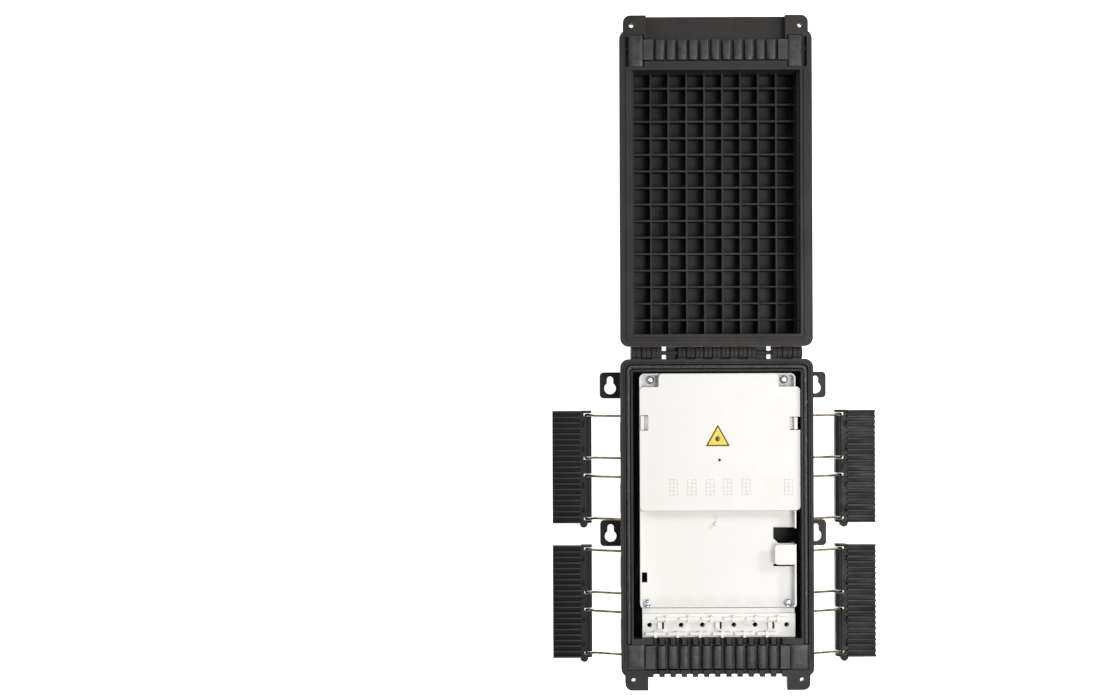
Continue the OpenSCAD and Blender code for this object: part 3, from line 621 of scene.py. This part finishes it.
def makeGasket():
    s = gasketSettings
    x, y0, y1 = s["middle"], s["start"], s["end"]
    corners = smoothPath([(-x, y0, 0), (-x, y1, 0), (x, y1, 0), (x, y0, 0)], s["corner"])
    path = bpy.data.meshes.new("gasketPath")
    path.from_pydata([(p.x * mm, p.y * mm, s["low"] * mm) for p in corners],
                     [(i, i + 1) for i in range(len(corners) - 1)], [])
    half, tall = s["width"] / 2, s["high"] - s["low"]
    right = [(half * across, -tall * deep) for across, deep in s["crown"]]
    left = [(-across, deep) for across, deep in reversed(right[:-1])]
    outline = [(-half, 0), (half, 0), *right, *left]
    loop = bpy.data.meshes.new("gasketSection")
    loop.from_pydata([(a * mm, b * mm, 0) for a, b in outline],
                     [(i, (i + 1) % len(outline)) for i in range(len(outline))], [])
    section = bpy.data.objects.new("gasketSection", loop)
    scene.collection.objects.link(section)
    piece = runTree("gelGasket", makeSweepTree(), path, {
        "Section": section, "Step": s["step"] * mm, "Material": sealRubber,
        "Wobble": s["wobble"] * mm, "Wobble Scale": s["wobbleScale"]})
    bpy.data.objects.remove(section)
    work = bmesh.new()
    work.from_mesh(piece.data)
    bmesh.ops.remove_doubles(work, verts=work.verts, dist=1e-6)
    bmesh.ops.recalc_face_normals(work, faces=work.faces)
    for vert in work.verts:  # the underside stays flat on the groove's floor
        vert.co.z = min(max(vert.co.z, (s["low"] + s["lift"]) * mm), (s["high"] + s["swell"]) * mm)
    work.to_mesh(piece.data)
    work.free()
    shadeSmooth(piece.data, 60)
    finishPiece(piece, sealRubber, "base", "seal", "base_gasket")


makeGasket()

sealSettings = {
    "start": {"base": 0.1, "lid": 2.9}, "gap": 0.1, "sideGap": 0.2,  # clearances to the housing
    "blockLow": 38.2, "blockTop": 53.0, "ribWidth": 9.0, "ribHeight": 8.4, "ribTop": 59.7, "ribShort": 1.4,
    "crown": 0.16, "droop": 0.1, "pinch": 0.07, "taper": 0.03,  # how a rib rounds off
    "leastRib": (0.94, 0.99, 0.97), "mostRib": (1.04, 1.005, 1.0), "wobble": 0.7, "wobbleScale": 240.0,
    "seed": {"base": 8, "lid": 3}, "endInset": 0.6, "endDrop": 0.3, "endLump": 0.18, "endLumpScale": 0.35,
    "lumpSeed": 7,
}
noise.seed_set(sealSettings["lumpSeed"])  # without it the lumps come out differently in each run


def ribMaster(length, width, height):
    # a bar with a crowned top and rounded ends, lying along Y about its own middle
    s = sealSettings
    work = bmesh.new()
    addBlock(work, (-width / 2, -length / 2, -height / 2), (width / 2, length / 2, height / 2))
    bmesh.ops.subdivide_edges(work, edges=work.edges, cuts=5, use_grid_fill=True)
    for vert in work.verts:
        u, v, w = vert.co.x / (width / 2), vert.co.y / (length / 2), vert.co.z / (height / 2)
        vert.co.z *= 1 - s["crown"] * u ** 4 - s["droop"] * v ** 6 if w > 0 else 1
        vert.co.x *= 1 - s["pinch"] * max(w, 0) ** 3
        vert.co.y *= 1 - s["taper"] * max(w, 0) ** 3
    return toPiece("ribMaster", work)


def makeSealBlock(name, side, node):
    s = sealSettings
    low, high = plan["sealStart"] + s["start"][side], plan["sealEnd"] - s["gap"]
    half = plan["sealHalf"] - s["sideGap"]
    work = bmesh.new()
    addBlock(work, (-half, low, s["blockLow"]), (half, high, s["blockTop"]))
    bmesh.ops.subdivide_edges(work, edges=work.edges, cuts=2, use_grid_fill=True)
    if side == "lid":
        bmesh.ops.transform(work, matrix=lidMirror(), verts=work.verts)
    finishPiece(toPiece(name + "Block", work, 0.4), sealRubber, side, "seal", node)
    z = s["ribTop"] - s["ribHeight"] / 2
    points = []
    for i in range(1, plan["ports"]):
        points.append(((i - plan["ports"] / 2) * plan["pitch"], (low + high) / 2, z))
    master = ribMaster(high - low - s["ribShort"], s["ribWidth"], s["ribHeight"])
    ribs = scatter(name + "Ribs", master, points, sealRubber, s["leastRib"], s["mostRib"],
                   wobble=s["wobble"], wobbleScale=s["wobbleScale"], seed=s["seed"][side], degrees=60)
    work = bmesh.new()
    inner = plan["ports"] / 2 * plan["pitch"] - s["ribWidth"] / 2
    for a, b in ((-half, -inner), (inner, half)):
        addBlock(work, (a, low + s["endInset"], s["blockTop"] - s["endDrop"]),
                 (b, high - s["endInset"], s["ribTop"] - s["endDrop"]))
    bmesh.ops.subdivide_edges(work, edges=work.edges, cuts=3, use_grid_fill=True)
    for vert in work.verts:
        lump = noise.noise_vector(vert.co * s["endLumpScale"]) * s["endLump"]
        vert.co += Vector((lump.x * 0.3, lump.y, lump.z if vert.co.z > z else 0))
    if side == "lid":
        bmesh.ops.transform(work, matrix=lidMirror(), verts=work.verts)
        ribs.data.transform(lidMirror(mm))
        ribs.data.flip_normals()
    finishPiece(ribs, sealRubber, side, "seal")
    finishPiece(toPiece(name + "EndRibs", work, 0.5), sealRubber, side, "seal")


makeSealBlock("baseSeal", "base", "base_port_seal")
makeSealBlock("lidSeal", "lid", "lid_port_seal")


cornerSettings = {
    "deep": 6.2, "under": 0.25, "edge": 1.2, "slope": 0.45, "lumpScale": 0.28, "lump": 0.21,
    "lumpStart": Vector((4, 0, 2)),
}


def makeCornerSeals(name, side, node, inner, outer, low, high):
    # two pads whose tops sink a little along their edges and in soft dips
    s = cornerSettings
    top = plan["rim"] - s["under"]
    work = bmesh.new()
    for a, b in ((-outer, -inner), (inner, outer)):
        addBlock(work, (a, low, plan["rim"] - s["deep"]), (b, high, top))
    bmesh.ops.subdivide_edges(work, edges=work.edges, cuts=7, use_grid_fill=True)
    for vert in work.verts:
        lump = noise.noise_vector(vert.co * s["lumpScale"] + s["lumpStart"]) * s["lump"]
        across = min(abs(vert.co.x) - inner, outer - abs(vert.co.x))
        edge = min(abs(across), vert.co.y - low, high - vert.co.y)
        if vert.co.z > top - 0.01:
            vert.co.z -= max(0.0, s["edge"] - edge) * s["slope"] + abs(lump.z)
    if side == "lid":
        bmesh.ops.transform(work, matrix=lidMirror(), verts=work.verts)
    finishPiece(toPiece(name, work, 0, 60), sealRubber, side, "seal", node)


makeCornerSeals("baseCornerGel", "base", "base_corner_seals", 73.9, 90.3, -151.8, -127.1)
makeCornerSeals("lidCornerGel", "lid", "lid_corner_seals", 73.0, 86.2, -152.6, -121.4)

print("strip under the hinge")

hingeWeb = {
    "end": 86.0, "gap": (50.3, 54.6), "low": 50.6, "high": 53.4, "from": 158.6, "to": 171.55,
    "ribs": 5.4, "ribHalf": 0.5, "ribInset": 0.6, "ribDeep": 3.0, "ribShort": 5.0, "overlap": 0.2,
}


def makeHingeWeb():
    # three dark plates in the gap behind the knuckles, with small ribs under them
    s = hingeWeb
    near, far = s["gap"]
    work = bmesh.new()
    for x0, x1 in ((-s["end"], -far), (-near, near), (far, s["end"])):
        addBlock(work, (x0, s["from"], s["low"]), (x1, s["to"], s["high"]))
        count = max(2, round((x1 - x0) / s["ribs"]))
        for k in range(count + 1):
            x = x0 + s["ribInset"] + (x1 - x0 - 2 * s["ribInset"]) * k / count
            addBlock(work, (x - s["ribHalf"], s["from"], s["low"] - s["ribDeep"]),
                     (x + s["ribHalf"], s["to"] - s["ribShort"], s["low"] + s["overlap"]))
    finishPiece(toPiece("hingeWeb", work, 0.25), housingPlastic, "base", "housing")


makeHingeWeb()

print("tray screws")

screwSettings = {
    "radius": 4.1, "height": 2.5, "seat": 0.02, "recess": 2.3, "recessFloor": 0.45, "deep": 1.15,
    "arm": 0.42, "armFlare": 0.22, "dome": 0.12, "turned": 48,
    "crown": ((0.55, 0.0), (0.8, -0.22), (0.95, -0.75), (1, -1.3)),  # share of the radius, height
    "shank": ((1.85, 0.1), (1.85, -11), (1.2, -13.6)),  # radius, height from under the head
    "spots": ((68.4, 138.2), (-66.4, 138.2), (71.7, -86.6), (-69.7, -86.6)),
}


def crossOutline(reach, arm):
    # twelve points around a cross, three to each arm
    outline = []
    for turn in (math.pi / 2 * k for k in range(4)):
        for a, b in ((reach, -arm), (reach, arm), (arm, arm)):
            outline.append((a * math.cos(turn) - b * math.sin(turn), a * math.sin(turn) + b * math.cos(turn)))
    return outline


def screwMaster():
    # a domed pan head with a cross recess whose arms narrow towards its bottom
    s = screwSettings
    work = bmesh.new()
    r, h = s["radius"], s["height"]
    steps = s["turned"]
    flat = r * s["crown"][0][0]
    cross = []
    for x, y in crossOutline(s["recess"], s["arm"] + s["armFlare"]):
        cross.append(work.verts.new((x, y, s["dome"] * (1 - (math.hypot(x, y) / flat) ** 2))))
    below = crossOutline(s["recess"] * s["recessFloor"], s["arm"])
    floor = [work.verts.new((x, y, -s["deep"])) for x, y in below]
    for i in range(len(cross)):
        j = (i + 1) % len(cross)
        work.faces.new((cross[i], cross[j], floor[j], floor[i]))
    work.faces.new(floor)
    outer = []
    for share, z in (*s["crown"], (1, -h)):
        outer.append([work.verts.new((r * share * math.cos(a), r * share * math.sin(a), z))
                      for a in (2 * math.pi * k / steps for k in range(steps))])
    for low, high in zip(outer, outer[1:]):
        for k in range(steps):
            j = (k + 1) % steps
            work.faces.new((low[k], low[j], high[j], high[k]))
    work.faces.new(outer[-1][::-1])
    edges = []
    for loop in (cross, outer[0]):
        edges += [work.edges.get((a, b)) for a, b in zip(loop, loop[1:] + loop[:1])]
    bmesh.ops.triangle_fill(work, edges=edges, use_beauty=True)
    shank = [(radius, z - h) for radius, z in s["shank"]]
    addTurned(work, ((0, shank[0][1]), *shank, (0, shank[-1][1])), 24)
    return toPiece("screwMaster", work, 0.0, 32)


def makeScrews():
    s = screwSettings
    points = [(x, y, plan["trayFloor"] + s["height"] + s["seat"]) for x, y in s["spots"]]
    piece = scatter("trayScrews", screwMaster(), points, zincSteel, turn=math.pi, seed=5, degrees=32)
    finishPiece(piece, zincSteel, "base", "screw", "tray_screws")


makeScrews()

print("label on the cover")

labelSettings = {
    "width": 25.6, "height": 22.9, "centre": 1.0, "base": 71.3, "edge": 0.45, "border": 1.35,
    "corners": (1.0, 0.6, 0.5), "thick": (0.1, 0.13, 0.16), "sink": 0.02,  # yellow edge, border, field
    "dot": 2.6, "dotTop": 0.19, "dotEdge": 0.17, "dotShare": 0.34,
}


def roundTriangle(width, height, inset, radius, steps=6):
    # outline of an upright triangle moved inwards by inset, corners rounded
    corners = [Vector((-width / 2, 0)), Vector((width / 2, 0)), Vector((0, height))]
    lines = []
    for a, b in zip(corners, corners[1:] + corners[:1]):
        ahead = (b - a).normalized()
        inward = Vector((-ahead.y, ahead.x))
        lines.append((a + inward * (inset + radius), ahead))
    centres = []
    for (p, d), (q, e) in zip(lines[-1:] + lines[:-1], lines):
        t = ((q - p).x * e.y - (q - p).y * e.x) / (d.x * e.y - d.y * e.x)
        centres.append((p + d * t, d, e))
    outline = []
    for centre, before, after in centres:
        start = math.atan2(-before.x, before.y)
        sweep = (math.atan2(-after.x, after.y) - start) % (2 * math.pi)
        outline += [(centre.x + radius * math.cos(start + sweep * k / steps),
                     centre.y + radius * math.sin(start + sweep * k / steps)) for k in range(steps + 1)]
    return outline


def makeLabel():
    s = labelSettings
    low = plan["coverTop"]
    layers = (("labelYellowEdge", 0.0, labelYellow), ("labelBorder", s["edge"], labelBlack),
              ("labelField", s["edge"] + s["border"], labelYellow))
    for (name, inset, material), radius, thick in zip(layers, s["corners"], s["thick"]):
        work = bmesh.new()
        triangle = roundTriangle(s["width"], s["height"], inset, radius)
        outline = [(x + s["centre"], y + s["base"]) for x, y in triangle]
        addPrism(work, outline, low - s["sink"], low + thick)
        nodes = ("cover_label",) if name == "labelYellowEdge" else ()
        finishPiece(toPiece(name, work, 0.03), material, "cover", "label", *nodes)
    work = bmesh.new()
    middle = s["base"] + s["height"] * s["dotShare"]
    addTurned(work, ((0, low + s["dotTop"]), (s["dot"] * 0.96, low + s["dotTop"]),
                     (s["dot"], low + s["dotEdge"]), (s["dot"], low), (0, low)), 40)
    bmesh.ops.translate(work, vec=(s["centre"], middle, 0), verts=work.verts)
    finishPiece(toPiece("labelDot", work), labelBlack, "cover", "label")


makeLabel()

print("wire bails")

bailSettings = {
    "radius": 1.15, "legGap": 44.5, "offset": 30.93, "hook": 7.0, "bend": 1.9,
    "kink": 0.88, "kinkFrom": 0.78, "kinkTo": 0.86,  # the legs step outwards between these shares
    "pivot": (93.0, 30.0), "lever": (131.0, 10.0), "latch": {"upper": 49.1, "lower": -88.0},
}


def makeBails(side, level):
    # each wire runs from a hook in the lever down one leg, through the lug and back up the other
    s = bailSettings
    sign = -1 if side == "left" else 1
    x0, z0 = s["pivot"]
    x1, z1 = s["lever"]
    half = s["legGap"] / 2
    leg = ((1, half - s["hook"]), (1, half), (s["kinkTo"], half), (s["kinkFrom"], half - s["kink"]),
           (0, half - s["kink"]))  # share of the way to the lever, place along the box
    stations = [*leg, *((share, -y) for share, y in reversed(leg))]
    work = bmesh.new()
    for offset in (-s["offset"], s["offset"]):
        middle = s["latch"][level] + offset
        corners = [(x0 + (x1 - x0) * share, middle + y, z0 + (z1 - z0) * share) for share, y in stations]
        addTube(work, smoothPath(corners, s["bend"], 7), s["radius"], 14)
    for vert in work.verts:
        vert.co.x *= sign
    name = f"{side}_{level}"
    piece = toPiece(f"{side}{level.capitalize()}Bails", work, 0.0, 60)
    finishPiece(piece, bailSteel, f"{name}_bail", "wire", f"{name}_bails")


for side in ("left", "right"):
    for level in ("upper", "lower"):
        makeBails(side, level)

print("frames on the cover")

coverMarks = {
    "columns": (-43.0, -24.9, -6.7, 11.0, 29.4, 72.0), "middle": 30.6, "size": (8.2, 15.4),
    "line": 0.5, "tall": 0.3, "sink": 0.05, "rows": 4,
}


def frameMaster():
    s = coverMarks
    w, l = s["size"]
    t, h = s["line"], s["tall"]
    work = bmesh.new()
    for x in (-w / 2, 0, w / 2):
        addBlock(work, (x - t / 2, -l / 2, -s["sink"]), (x + t / 2, l / 2, h))
    for k in range(s["rows"] + 1):
        y = -l / 2 + k * l / s["rows"]
        addBlock(work, (-w / 2, y - t / 2, -s["sink"]), (w / 2, y + t / 2, h - 0.01))
    return toPiece("frameMaster", work)


def makeCoverFrames():
    points = [(x, coverMarks["middle"], plan["coverTop"]) for x in coverMarks["columns"]]
    piece = scatter("coverFrames", frameMaster(), points, whitePlastic, seed=2)
    finishPiece(piece, whitePlastic, "cover", "white_plastic")


makeCoverFrames()
